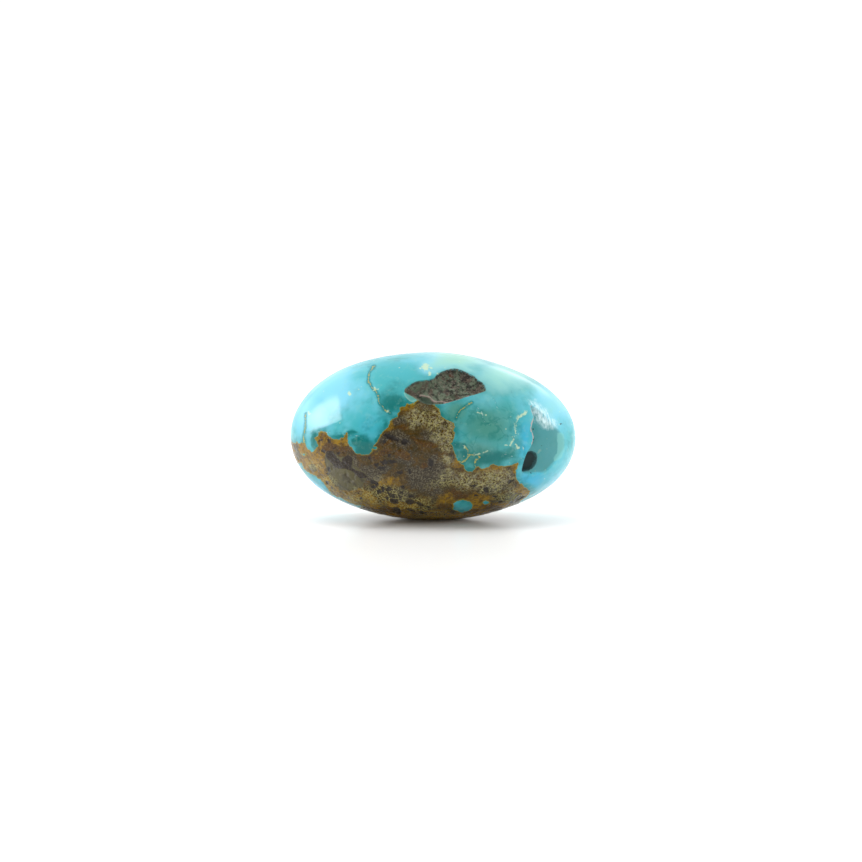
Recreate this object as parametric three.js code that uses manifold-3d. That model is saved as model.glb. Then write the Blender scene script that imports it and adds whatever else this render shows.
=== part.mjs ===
// A turquoise nugget: one natural stone, tumbled to an oval pebble and polished, in millimetres.
// +X runs along the stone, -Y is its best side, +Z is up, and it rests on a small worn flat at the origin.
import * as THREE from "three";
import { ImprovedNoise } from "three/addons/math/ImprovedNoise.js";
import { mergeVertices } from "three/addons/utils/BufferGeometryUtils.js";
import Module from "manifold-3d";

// Driving dimensions of the plain ellipsoid under the swells, which bring the stone to 30 x 20.5 x 17.6.
const LENGTH = 29.7;
const DEPTH = 20.1;
const HEIGHT = 17.74;
const WORN_AWAY = 0.15; // how much of the belly is worn off to make the resting flat
const CENTRE = new THREE.Vector3(0, 0, HEIGHT / 2 - WORN_AWAY);

// Fineness of the surface: the sphere it starts from, and the longest edge in and around a hollow.
const SPHERE_DETAIL = 14;
const HOLLOW_EDGE = 0.36;
const HOLLOW_MARGIN = 0.12;
const RIM_REACH = 0.13; // a corner nearer to a rim than this is moved onto it
const REFINEMENTS = 2;
const POINTS_PER_CORNER = 5;

const TURQUOISE = { color: 0x55adb0, roughness: 0.18, metalness: 0 };

// Where the stone is fuller (+) or leaner (-) than an ellipsoid.
// turn runs from +X towards +Y, lift is above level, and spread is the swell's half width, all in degrees.
const SWELLS = [
  { name: "left shoulder", turn: 180, lift: 29, rise: 0.33, spread: 27 },
  { name: "left heel", turn: 180, lift: -22, rise: 0.24, spread: 20 },
  { name: "right tip", turn: 0, lift: 3, rise: 0.1, spread: 12 },
  { name: "right heel", turn: 0, lift: -19, rise: 0.32, spread: 17 },
  { name: "slack right brow", turn: 0, lift: 44, rise: -0.26, spread: 24 },
  { name: "front belly", turn: -100, lift: -22, rise: 0.25, spread: 30 },
  { name: "back hump", turn: 62, lift: 14, rise: 0.5, spread: 30 },
  { name: "back hip", turn: 128, lift: -22, rise: 0.35, spread: 24 },
];

// Faces that tumbling wore nearly flat: the way each looks, and how much it takes off the ellipsoid.
const WORN_FACES = [
  { name: "back upper left", turn: 118, lift: 34, cut: 0.55 },
  { name: "back lower right", turn: 48, lift: -38, cut: 0.4 },
  { name: "front upper left", turn: -128, lift: 30, cut: 0.2 },
];
const WORN_EDGE = 0.9; // how softly a worn face runs into the round
const WORN_SPAN = 0.3; // a worn face reaches no further round than this cosine

// Hollows that the polish missed. An outline is [x, z] from the stone's centre, on the side of it that faces
// -Y or +Y. depth is the floor's, wall is how far in from the rim it is reached, and grit roughens it.
const HOLLOWS = [
  {
    name: "brow chip, an old break into the dark host rock",
    side: -1,
    depth: 0.8,
    wall: 0.7,
    grit: 0.14,
    outline: [
      [-2.95, 5.3], [-2.6, 5.8], [-1.65, 6.3], [-0.1, 6.5], [0.35, 6.9], [0.9, 7.2], [1.85, 7.45],
      [2.7, 7.4], [4.15, 6.8], [4.6, 6.4], [5.2, 6.0], [5.45, 5.4], [5.1, 5.2], [3.7, 4.8],
      [1.55, 4.2], [0.3, 4.05], [-0.7, 4.1], [-1.45, 4.4], [-2.2, 4.85],
    ],
  },
  {
    name: "end ledge, a step that fades out towards the tip",
    side: -1,
    depth: 0.36,
    wall: 0.3,
    grit: 0.02,
    fade: [10.4, 14.2],
    outline: [
      [10.1, 3.65], [10.4, 2.6], [10.15, 1.4], [10.4, 0.55], [10.15, -0.35], [9.55, -1.4],
      [9.25, -3.15], [10.7, -3.4], [11.7, -3.3], [12.75, -2.25], [13.65, -1.0], [13.7, 0.0],
      [13.3, 0.8], [12.5, 1.6], [11.1, 3.05],
    ],
  },
  {
    name: "tear pit at the foot of the ledge",
    side: -1,
    depth: 0.65,
    wall: 0.75,
    grit: 0.05,
    outline: [
      [9.3, -3.1], [9.4, -2.1], [9.85, -1.1], [10.55, -1.0], [11.0, -1.6], [10.75, -2.55], [10.2, -3.05],
    ],
  },
  {
    name: "back hollow, natural skin",
    side: 1,
    depth: 0.85,
    wall: 1.1,
    grit: 0.16,
    outline: [
      [-8.6, 0.4], [-7.4, 2.2], [-5.2, 3.1], [-3.0, 2.6], [-2.0, 1.2], [-2.9, -0.3], [-4.8, -0.6],
      [-6.4, -1.5], [-8.0, -1.1],
    ],
  },
  {
    name: "back nick",
    side: 1,
    depth: 0.45,
    wall: 0.6,
    grit: 0.06,
    outline: [[5.6, 4.2], [6.9, 4.9], [8.3, 4.3], [8.0, 3.4], [6.4, 3.2]],
  },
];
const GRIT_PER_MM = [1.3, 3.1]; // how close the lumps on a hollow's floor lie, coarse and fine

const noise = new ImprovedNoise();

// The unit vector at turn degrees from +X towards +Y and lift degrees above level.
function toward(turn, lift) {
  const azimuth = THREE.MathUtils.degToRad(turn);
  const rise = THREE.MathUtils.degToRad(lift);
  return new THREE.Vector3(
    Math.cos(rise) * Math.cos(azimuth),
    Math.cos(rise) * Math.sin(azimuth),
    Math.sin(rise),
  );
}

const swells = SWELLS.map(({ turn, lift, rise, spread }) => ({
  rise,
  axis: toward(turn, lift),
  width: 1 - Math.cos(THREE.MathUtils.degToRad(spread)),
}));

const wornFaces = WORN_FACES.map(({ turn, lift, cut }) => {
  const normal = toward(turn, lift);
  const reach = Math.hypot(normal.x * LENGTH, normal.y * DEPTH, normal.z * HEIGHT) / 2 - cut;
  return { normal, reach };
});

// An outline's corners joined by one smooth closed curve.
function smoothLoop(corners) {
  const points = corners.map(([x, z]) => new THREE.Vector3(x, 0, z));
  const curve = new THREE.CatmullRomCurve3(points, true, "catmullrom");
  return curve.getPoints(corners.length * POINTS_PER_CORNER);
}

const hollows = HOLLOWS.map((hollow) => {
  const loop = smoothLoop(hollow.outline);
  return { ...hollow, loop, box: new THREE.Box3().setFromPoints(loop).expandByScalar(HOLLOW_MARGIN) };
});

// The smaller of two lengths, rounded off where they are close to each other.
function smoothMin(a, b, round) {
  const near = Math.max(round - Math.abs(a - b), 0) / round;
  return Math.min(a, b) - (near * near * round) / 4;
}

// The tumbled body's point in a direction from its centre, with no hollows.
function bodyPoint(direction) {
  const { x, y, z } = direction;
  let radius = 1 / (2 * Math.hypot(x / LENGTH, y / DEPTH, z / HEIGHT));
  for (const { axis, rise, width } of swells) radius += rise * Math.exp((axis.dot(direction) - 1) / width);
  for (const { normal, reach } of wornFaces) {
    const facing = normal.dot(direction);
    if (facing > WORN_SPAN) radius = smoothMin(radius, reach / facing, WORN_EDGE);
  }
  return direction.clone().multiplyScalar(radius);
}

// The nearest point of a loop to a point, seen along Y, and whether the loop goes round that point.
function rimAt(loop, point) {
  const level = point.clone().setY(0);
  const edge = new THREE.Line3();
  const onEdge = new THREE.Vector3();
  const nearest = new THREE.Vector3();
  let distance = Infinity;
  let inside = false;
  for (let i = 0; i < loop.length - 1; i++) {
    const { x, z } = loop[i];
    const next = loop[i + 1];
    edge.set(loop[i], next).closestPointToPoint(level, true, onEdge);
    if (onEdge.distanceTo(level) < distance) {
      distance = onEdge.distanceTo(level);
      nearest.copy(onEdge);
    }
    const crosses = z > level.z !== next.z > level.z;
    if (crosses && level.x < x + ((level.z - z) / (next.z - z)) * (next.x - x)) inside = !inside;
  }
  return { nearest, distance, inside };
}

// The hollows within a short reach of a body point, each with where its rim is.
function hollowsBy(point) {
  return hollows
    .filter(({ side, box }) => point.y * side > 0 && box.containsPoint(point.clone().setY(0)))
    .map((hollow) => ({ hollow, rim: rimAt(hollow.loop, point) }));
}

// How deep a hollow is at a body point: steep at the rim, then levelling out on a gritty floor.
function hollowDepth({ depth, wall, grit, fade }, distance, { x, y, z }) {
  const drop = Math.sqrt(1 - (1 - Math.min(distance / wall, 1)) ** 2);
  const left = fade ? 1 - THREE.MathUtils.smoothstep(x, ...fade) : 1;
  const [coarse, fine] = GRIT_PER_MM.map((scale) => noise.noise(x * scale, y * scale, z * scale));
  return drop * (depth * left + grit * (coarse + fine / 2));
}

// A direction moved onto a hollow's rim where that passes close by, so that the rim is a clean line.
function ontoRim(direction) {
  const point = bodyPoint(direction);
  const close = hollowsBy(point).find(({ rim }) => rim.distance < RIM_REACH);
  return close ? close.rim.nearest.clone().setY(point.y).normalize() : direction;
}

// The point of the stone's surface in a direction from its centre.
function surfacePoint(direction) {
  const point = bodyPoint(direction);
  const cut = hollowsBy(point)
    .filter(({ rim }) => rim.inside)
    .reduce((sum, { hollow, rim }) => sum + hollowDepth(hollow, rim.distance, point), 0);
  return point.addScaledVector(direction, -cut).add(CENTRE);
}

// Whether a direction meets a hollow or the strip round one.
function nearHollow(direction) {
  return hollowsBy(bodyPoint(direction)).some(({ rim }) => rim.inside || rim.distance < HOLLOW_MARGIN);
}

// Divides a triangle [a, b, c] at those of its edges that have a middle point, -1 standing for none.
function divide([a, b, c], [ab, bc, ca]) {
  if (ab < 0 && bc < 0 && ca < 0) return [[a, b, c]];
  if (ab >= 0 && bc >= 0 && ca >= 0) return [[a, ab, ca], [ab, b, bc], [bc, c, ca], [ab, bc, ca]];
  if (ab < 0 || ca >= 0) return divide([b, c, a], [bc, ca, ab]);
  if (bc < 0) return [[ab, b, c], [ab, c, a]];
  return [[ab, b, bc], [ab, bc, c], [ab, c, a]];
}

// Splits the long edges of a sphere's triangles in and around the hollows, adding the new directions.
function refine(directions, triangles) {
  const middles = new Map();
  const near = directions.map(nearHollow);
  const middle = (a, b) => {
    const edge = a < b ? `${a} ${b}` : `${b} ${a}`;
    if (!middles.has(edge)) {
      const between = directions[a].clone().add(directions[b]).normalize();
      const long = bodyPoint(directions[a]).distanceTo(bodyPoint(directions[b])) > HOLLOW_EDGE;
      const split = long && (near[a] || near[b] || nearHollow(between));
      middles.set(edge, split ? directions.push(between) - 1 : -1);
    }
    return middles.get(edge);
  };
  return triangles.flatMap(([a, b, c]) => divide([a, b, c], [middle(a, b), middle(b, c), middle(c, a)]));
}

// A geometry with its corners shared, and nothing but positions kept.
function merged(geometry) {
  geometry.deleteAttribute("normal");
  geometry.deleteAttribute("uv");
  return mergeVertices(geometry);
}

// The closed surface of the tumbled stone, before its flat is worn.
function pebbleGeometry() {
  const { attributes, index } = merged(new THREE.IcosahedronGeometry(1, SPHERE_DETAIL));
  const directions = [];
  for (let i = 0; i < attributes.position.count; i++) {
    directions.push(new THREE.Vector3().fromBufferAttribute(attributes.position, i));
  }
  let triangles = [];
  for (let i = 0; i < index.count; i += 3) triangles.push(Array.from(index.array.subarray(i, i + 3)));
  for (let i = 0; i < REFINEMENTS; i++) triangles = refine(directions, triangles);
  const points = directions.map(ontoRim).map(surfacePoint);
  return new THREE.BufferGeometry().setFromPoints(points).setIndex(triangles.flat());
}

const wasm = await Module();
wasm.setup();

function solidOf({ attributes, index }) {
  const vertProperties = attributes.position.array;
  const triVerts = new Uint32Array(index.array);
  return new wasm.Manifold(new wasm.Mesh({ numProp: 3, vertProperties, triVerts }));
}

// The stone with its belly worn flat at z = 0.
function stoneGeometry() {
  const ground = merged(new THREE.BoxGeometry(LENGTH, DEPTH, HEIGHT).translate(0, 0, -HEIGHT / 2));
  const { vertProperties, triVerts } = solidOf(pebbleGeometry()).subtract(solidOf(ground)).getMesh();
  const geometry = new THREE.BufferGeometry();
  geometry.setAttribute("position", new THREE.BufferAttribute(vertProperties, 3));
  geometry.setIndex(new THREE.BufferAttribute(triVerts, 1));
  geometry.computeVertexNormals();
  return geometry;
}

const stone = new THREE.Mesh(stoneGeometry(), new THREE.MeshStandardMaterial(TURQUOISE));
stone.name = "turquoise_nugget";

const nugget = new THREE.Group();
nugget.add(stone);

export default nugget;
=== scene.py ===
import math
from functools import cached_property

import bmesh
import bpy
import numpy as np
from bpy.props import FloatProperty, FloatVectorProperty, PointerProperty
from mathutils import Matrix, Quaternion, Vector, noise


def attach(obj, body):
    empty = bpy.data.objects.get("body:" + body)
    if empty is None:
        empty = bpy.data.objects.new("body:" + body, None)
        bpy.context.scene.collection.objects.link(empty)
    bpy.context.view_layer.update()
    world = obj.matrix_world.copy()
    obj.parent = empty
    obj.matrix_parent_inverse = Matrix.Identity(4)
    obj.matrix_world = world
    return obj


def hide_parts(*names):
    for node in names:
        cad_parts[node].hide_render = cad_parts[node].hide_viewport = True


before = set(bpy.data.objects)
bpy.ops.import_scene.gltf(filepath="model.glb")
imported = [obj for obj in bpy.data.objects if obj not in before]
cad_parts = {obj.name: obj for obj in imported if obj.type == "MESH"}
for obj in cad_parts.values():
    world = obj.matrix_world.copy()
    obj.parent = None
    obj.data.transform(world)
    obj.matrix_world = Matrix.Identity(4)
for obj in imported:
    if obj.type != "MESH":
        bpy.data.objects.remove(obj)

bl_info = {
    "name": "Turquoise Nugget",
    "version": (1, 0, 0),
    "blender": (4, 5, 0),
    "location": "3D View > Sidebar > Nugget",
    "description": "Builds a tumbled turquoise nugget with limonite matrix, and a plain studio for it",
    "category": "Add Mesh",
}

NODE = "turquoise_nugget"
BODY = "root"
MM = 0.001  # the frame is in metres, and the stone is described in millimetres

# The plain ellipsoid under the swells, and how much of its belly is worn off to make the resting flat.
LENGTH, DEPTH, HEIGHT = 29.7, 20.1, 17.74
WORN_AWAY = 0.15
CENTRE = np.array([0, 0, HEIGHT / 2 - WORN_AWAY])

# Where the stone is fuller (+) or leaner (-): turn from +X to +Y, lift above level, rise in mm, half width.
SWELLS = [
    ("left shoulder", 180, 29, 0.33, 27),
    ("left heel", 180, -22, 0.24, 20),
    ("right tip", 0, 3, 0.1, 12),
    ("right heel", 0, -19, 0.32, 17),
    ("slack right brow", 0, 44, -0.26, 24),
    ("front belly", -100, -22, 0.25, 30),
    ("back hump", 62, 14, 0.5, 30),
    ("back hip", 128, -22, 0.35, 24),
]

# Faces that tumbling wore nearly flat: the way each looks, and how much it takes off the ellipsoid.
WORN_FACES = [
    ("back upper left", 118, 34, 0.55),
    ("back lower right", 48, -38, 0.4),
    ("front upper left", -128, 30, 0.2),
]
WORN_EDGE = 0.9
WORN_SPAN = 0.3

# Every outline and place below is [x, z] in mm from the stone's centre, on its front (-Y) or back (+Y).
FRONT, BACK = -1, 1

# Hollows that the polish missed: side, depth of the floor, how far in it is reached, grit, and outline.
HOLLOWS = {
    "brow chip": (FRONT, 0.8, 0.55, 0.15, [
        (-2.95, 5.3), (-2.6, 5.8), (-1.65, 6.3), (-0.1, 6.5), (0.35, 6.9), (0.9, 7.2), (1.85, 7.45),
        (2.7, 7.4), (4.15, 6.8), (4.6, 6.4), (5.2, 6), (5.45, 5.4), (5.1, 5.2), (3.7, 4.8), (1.55, 4.2),
        (0.3, 4.05), (-0.7, 4.1), (-1.45, 4.4), (-2.2, 4.85),
    ]),
    "end ledge": (FRONT, 0.36, 0.22, 0.015, [
        (10.1, 3.65), (10.4, 2.6), (10.15, 1.4), (10.4, 0.55), (10.15, -0.35), (9.55, -1.4), (9.25, -3.15),
        (10.7, -3.4), (11.7, -3.3), (12.75, -2.25), (13.65, -1), (13.7, 0), (13.3, 0.8), (12.5, 1.6),
        (11.1, 3.05),
    ]),
    "tear pit": (FRONT, 0.65, 0.75, 0.05, [
        (9.3, -3.1), (9.35, -2.3), (9.7, -1.4), (10.3, -1), (10.85, -1.25), (11, -1.85), (10.75, -2.55),
        (10.2, -2.95),
    ]),
    "break scoop": (FRONT, 0.18, 0.5, 0.05, [
        (-1.4, 5.1), (-0.7, 5.05), (-0.3, 4.75), (0.05, 4.45), (0, 4.2), (-0.7, 4.15), (-1.3, 4.4),
    ]),
    "scallop": (FRONT, 0.12, 0.35, 0, [
        (-2.95, 5.25), (-2.6, 5.1), (-2.15, 4.85), (-1.65, 4.55), (-2.15, 4.3), (-2.6, 4.55), (-2.9, 4.9),
    ]),
    "back hollow": (BACK, 0.85, 1, 0.16, [
        (-8.6, 0.4), (-7.4, 2.2), (-5.2, 3.1), (-3, 2.6), (-2, 1.2), (-2.9, -0.3), (-4.8, -0.6),
        (-6.4, -1.5), (-8, -1.1),
    ]),
    "back nick": (BACK, 0.45, 0.6, 0.06, [
        (5.6, 4.2), (6.9, 4.9), (8.3, 4.3), (8, 3.4), (6.4, 3.2),
    ]),
}
ROUGH_HOLLOWS = ("brow chip", "break scoop", "back hollow", "back nick")
SMOOTH_BREAK, ROUGH_BREAK = 0.0, 2.5  # the chip's floor is calm up to the first and gritty past the second
BREAK_CALM = 0.5  # the grit's strength on the calm part, where the gritty part has 1 more
BREAK_LIP = {FRONT: [
    (0.1, [(-1.4, 5.25), (-0.85, 5.15), (-0.4, 5), (-0.1, 4.65), (0.5, 4.6), (1.1, 4.55), (1.45, 4.3),
        (2.05, 4.4), (2.6, 4.55), (3.9, 4.9)]),
], BACK: []}

# The ledge: its step is sharp along the left rim and runs out gently elsewhere.
LEDGE_RIM = HOLLOWS["end ledge"][-1][:7]
RIM_LINE = {FRONT: [(0.07, LEDGE_RIM[:5])], BACK: []}
GENTLE_WALL = 1.9  # how wide the step's wall is away from its left rim
LEDGE_TURN = (0.1, 1.2)  # how far from that rim the wall widens
LEDGE_FADE = (10.4, 14.2)  # the floor rises to the surface between these places along the stone
# The paler band at the ledge's outer side: a painted reflection of the bright surroundings to the right.
LEDGE_REFLECTION_BAND = [
    (13, 0.85), (13.45, 0.7), (13.7, 0.35), (13.7, -0.4), (13.65, -1.15), (13.35, -1.8), (12.75, -2.25),
    (12.6, -1.8), (12.95, -1.2), (13, -0.65), (12.9, 0),
]
SCUFFS = [
    (10, 4), (10.4, 4.1), (11, 3.6), (11.8, 2.9), (12.5, 2.1), (12.9, 1.5), (12.3, 1.4), (11.6, 1.6),
    (11.2, 1.9), (10.9, 2.5), (10.6, 3.1), (10.2, 3.7),
]

# The brown matrix. It runs on under the stone and round its left end, past the outline from each side.
ROCK = {FRONT: [[
    (-16, -0.5), (-14.6, -0.55), (-14.2, -0.3), (-13.85, -0.45), (-13.45, -0.25), (-13.1, -0.9),
    (-12.55, -1.2), (-12.15, -0.8), (-11.9, -0.35), (-12.3, 0.25), (-11.75, 0.9), (-11.35, 1.05),
    (-10.95, 0.9), (-10.65, 0.5), (-10.25, 0.3), (-9.65, 0.35), (-9.25, 0.6), (-9, 1), (-8.8, 1.05),
    (-8.8, 0.15), (-8.25, -0.55), (-8, -0.95), (-7.35, -1.15), (-6.75, -1.15), (-6.4, -0.9), (-6.2, -0.3),
    (-5.75, 0.2), (-5.35, 1.1), (-4.95, 1.45), (-4.45, 1.95), (-4.35, 2.55), (-3.7, 2.85), (-3.3, 3.65),
    (-2.7, 4.05), (-1.9, 4.15), (-1.5, 4.5), (-0.9, 4.75), (0, 4.15), (0.55, 3.65), (0.95, 2.8),
    (1.45, 2.4), (2.05, 2.2), (2.25, 1.8), (2.05, 1.5), (2.2, 1.1), (2.1, 0.5), (1.9, 0.05), (2.05, -0.45),
    (2.3, -0.95), (2.45, -1.55), (2.75, -1.75), (3.1, -2.2), (3.25, -2.65), (3.65, -2.85), (4, -2.8),
    (4.3, -2.45), (4.6, -2.35), (5.1, -2.55), (5.6, -2.5), (5.95, -2.2), (6.25, -2.1), (6.7, -2.3),
    (7.3, -2.45), (7.85, -2.35), (8.25, -2.15), (8.85, -2.1), (8.6, -2.8), (8.55, -3.25), (8.65, -3.75),
    (8.85, -4.15), (9.3, -4.6), (10.2, -5.4), (9.6, -6.15), (9.15, -6.6), (8.8, -7.4), (8, -9.5),
    (-7.8, -9.5), (-7.65, -7.4), (-7.5, -7), (-8.25, -6.95), (-9.35, -6.4), (-10.55, -5.9), (-11.05, -5.2),
    (-11.35, -4.6), (-12.1, -3.95), (-12.65, -3.65), (-13.3, -3.5), (-13.7, -2.6), (-14.15, -2.75),
    (-16, -2.9),
]], BACK: [[
    (-16, -0.5), (-14.2, 0.1), (-13.3, -0.3), (-12.6, 0.5), (-11.6, 0.2), (-11, -0.9), (-11.5, -2),
    (-12.6, -2.7), (-13.7, -2.8), (-16, -2.9),
], [
    (-7.8, -9.5), (-8.4, -7.4), (-8, -6.2), (-6.6, -5.2), (-5.4, -5.6), (-4.4, -4.6), (-3.2, -4.9),
    (-2.2, -3.4), (-1.2, -2.2), (-0.2, -2.6), (0.6, -3.9), (2, -4.3), (3.1, -5.4), (4.6, -5), (6, -5.9),
    (7.3, -5.4), (8.6, -6.3), (8.8, -7.4), (8, -9.5),
]]}

# Turquoise islands in the matrix: x, z, half length, half height.
ISLANDS = {FRONT: [
    (3.1, -6.7, 1, 0.75), (5.5, -6.45, 0.3, 0.22), (-6, -0.45, 0.16, 0.12), (-13.5, -1.55, 0.2, 0.1),
], BACK: [
    (-3.1, -6.3, 0.7, 0.5), (4.6, -6.7, 0.5, 0.35), (-12.9, -1.2, 0.3, 0.25), (-0.7, -4.2, 0.25, 0.3),
]}

# Gold limonite veins: half width in mm, and the line that each follows.
VEINS = {FRONT: [
    (0.035, [(-6.1, 7.6), (-6.55, 7.1), (-6.65, 6.5), (-6.7, 6.05), (-6, 5.4), (-5.55, 4.65),
        (-5.55, 4.1), (-4.95, 3.5), (-4.45, 3.15)]),
    (0.035, [(-13.25, 2.6), (-13.3, 1.7), (-13.35, 0.9), (-13.45, 0.1), (-13.45, -0.3)]),
    (0.03, [(4, 4.2), (3.15, 3.75), (2.65, 3.35), (2.35, 2.6)]),
    (0.055, [(2.7, -1.7), (3.1, -1.8), (3.5, -1.35), (3.75, -1.05), (4.15, -1.1), (4.6, -1.1),
        (4.75, -1.45), (4.4, -1.65), (4.3, -1.85), (4.4, -2.4)]),
    (0.035, [(3.2, -0.05), (3.45, -0.4), (3.6, -0.7), (3.5, -1.35)]),
], BACK: [
    (0.04, [(-10.6, 3.6), (-9.4, 4.7), (-8.2, 4.9), (-6.9, 4.2), (-5.6, 4.3), (-4.3, 5.4), (-2.9, 5.3)]),
    (0.035, [(-2.2, 0.3), (-1.5, -0.5), (-1.6, -1.2), (-1.1, -1.9), (-1.2, -2.4)]),
    (0.04, [(2.6, 2.4), (3.7, 1.5), (5.1, 1.1), (6, 0.2), (7.2, -0.3), (7.9, -1.4), (9.3, -1.9)]),
    (0.03, [(11.6, 3.4), (10.8, 2.2), (10.9, 1.1), (10.3, 0.2)]),
]}

# Healed hairline fractures in the turquoise: half width, and the line that each follows.
HAIRLINES = {FRONT: [
    (0.025, [(-13.2, 0.85), (-12, 0.95), (-10.7, 0.95), (-8.8, 0.85), (-6.8, 0.8)]),
    (0.02, [(1.95, 0.1), (2.55, 0), (3.25, -0.15)]), (0.025, [(5.8, -0.7), (7.25, -1.05), (9.3, -1.7)]),
    (0.02, [(4.2, 3.9), (5, 3.3), (5.2, 2.4), (5.9, 1.9)]), (0.02, [(6.2, 4.6), (6.6, 3.7), (7.4, 3.3)]),
], BACK: [
    (0.025, [(-12.2, 0.9), (-9.6, 1.3), (-8.8, 1.4)]), (0.025, [(0.2, 2.6), (2.8, 3.3), (6.2, 3)]),
    (0.02, [(5, -2.6), (7, -2.2), (9.4, -2.8)]),
]}

# Cream spots of altered turquoise: x, z, radius.
CREAM = {FRONT: [
    (-0.75, 7.6, 0.34), (-0.35, 7, 0.16), (-8.65, 4.9, 0.2), (3.25, -0.3, 0.13), (0.55, 7.1, 0.1),
    (-5.95, 5.4, 0.14), (-4.6, 3.3, 0.12), (-12.9, 2.7, 0.12), (11.25, -1.09, 0.2), (8.75, -0.45, 0.14),
], BACK: [
    (-0.6, 6.2, 0.3), (0.3, 5.7, 0.15), (5.9, 6.1, 0.2), (-10.9, 1.6, 0.22), (9.6, 0.8, 0.2),
    (10.1, 1.4, 0.12), (1.3, 0.4, 0.18), (1.9, -0.6, 0.12), (-9.6, -3.2, 0.16), (3.4, -1.9, 0.22),
]}

# Cream threads of altered turquoise: half width, and the line that each follows.
THREADS = {FRONT: [
    (0.15, [(9.6, 3.1), (9.2, 2.85), (8.75, 2.65)]), (0.1, [(8.9, 2.75), (8.7, 2.45)]),
    (0.05, [(8.55, 2.2), (8.4, 1.6), (8.4, 1)]), (0.09, [(8.35, 0.7), (8.2, 0.2), (7.95, -0.2)]),
    (0.05, [(8, -0.2), (7.4, -0.15)]), (0.06, [(8.6, -0.25), (8.75, -0.55)]),
    (0.05, [(9.2, -0.35), (9.35, -0.6)]), (0.05, [(-1.3, 7.5), (-0.7, 7.8), (-0.1, 7.5)]),
    (0.05, [(-6.05, 5.8), (-5.9, 5.4), (-5.65, 5.5)]), (0.03, [(4.6, 3.2), (5.4, 3)]),
    (0.04, [(4.2, -1), (5.1, -0.9), (5.6, -0.7)]),
], BACK: [
    (0.1, [(-10.9, 1.8), (-10.2, 1.3), (-10, 0.7)]), (0.07, [(9.4, 1.1), (10.2, 1.5), (10.6, 2.1)]),
    (0.06, [(1.2, 0.8), (1.7, 0.1), (1.6, -0.6)]),
]}

# Smooth grey clasts caught in the matrix, and the dark band across the top of the largest.
CLASTS = {FRONT: [[
    (-11.1, -1), (-10.3, -1), (-9.55, -1.6), (-8.65, -1.3), (-8.2, -1.85), (-8.1, -2.4), (-7.35, -2.9),
    (-6.7, -3.4), (-7.1, -4.15), (-7.5, -4.65), (-8.05, -5.05), (-8.85, -5.25), (-9.7, -5.2),
    (-10.35, -4.6), (-10.8, -4), (-11.05, -3.45), (-11.15, -2.55), (-11.2, -1.6),
], [
    (-12.95, -2.6), (-12.4, -2.5), (-12.1, -3.1), (-12.5, -3.5), (-12.95, -3.2),
], [
    (-14.6, -0.9), (-14.1, -0.7), (-13.95, -1.5), (-13.9, -2.3), (-14.3, -2.4),
]], BACK: [[
    (-2.6, -5.6), (-1.4, -4.6), (0.2, -5), (0.9, -6.2), (-0.4, -7.1), (-2, -6.9),
]]}
DARK_BAND = [
    (-11.05, -1), (-10.3, -1), (-9.55, -2.05), (-9.15, -1.5), (-8.65, -1.3), (-8.25, -1.85), (-8.4, -2.65),
    (-7.4, -3), (-6.75, -3.5), (-7.5, -3.6), (-8.6, -2.9), (-9.35, -2.8), (-10, -2.7), (-10.55, -2.25),
    (-11, -1.7),
]

# Panes of purer, darker turquoise, bounded by a vein or a healed crack.
PANES = {FRONT: [[
    (-6.2, 8), (-6.6, 7.1), (-6.75, 6.05), (-6.05, 5.4), (-5.6, 4.65), (-5.55, 4.1), (-4.95, 3.45),
    (-4.4, 3.1), (-3, 2.8), (-0.6, 4), (-0.6, 7.2), (-2.2, 8.3), (-4.4, 8.6),
]], BACK: [[
    (2.6, 2.4), (3.7, 1.5), (5.1, 1.1), (6, 0.2), (7.2, -0.3), (7.9, -1.4), (9.3, -1.9), (8.4, -3.6),
    (5, -3.4), (2.2, -2.2), (1.4, 0.4),
]]}

# Small clear windows beside the matrix, where the blue is deepest: as the fragments below.
WINDOWS = {FRONT: [
    (2.6, -0.05, 0.75, 0.4, -10), (2.95, -1.05, 0.6, 0.5, 0), (3.8, -2.6, 0.5, 0.3, 0),
    (-12.3, -0.2, 0.4, 1, 12), (-12.1, 0.75, 0.7, 0.2, 0), (-9.7, 0.62, 0.9, 0.22, -4),
    (-7.1, -0.75, 0.9, 0.6, 0), (-7.9, 0.2, 0.5, 0.5, 40), (-5.6, 0.6, 0.3, 0.7, -35),
], BACK: [
    (-11.2, 0.9, 0.6, 0.4, 20), (-1.9, -2.7, 0.5, 0.7, 0), (3.2, -4.2, 0.8, 0.4, -10),
]}

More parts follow.
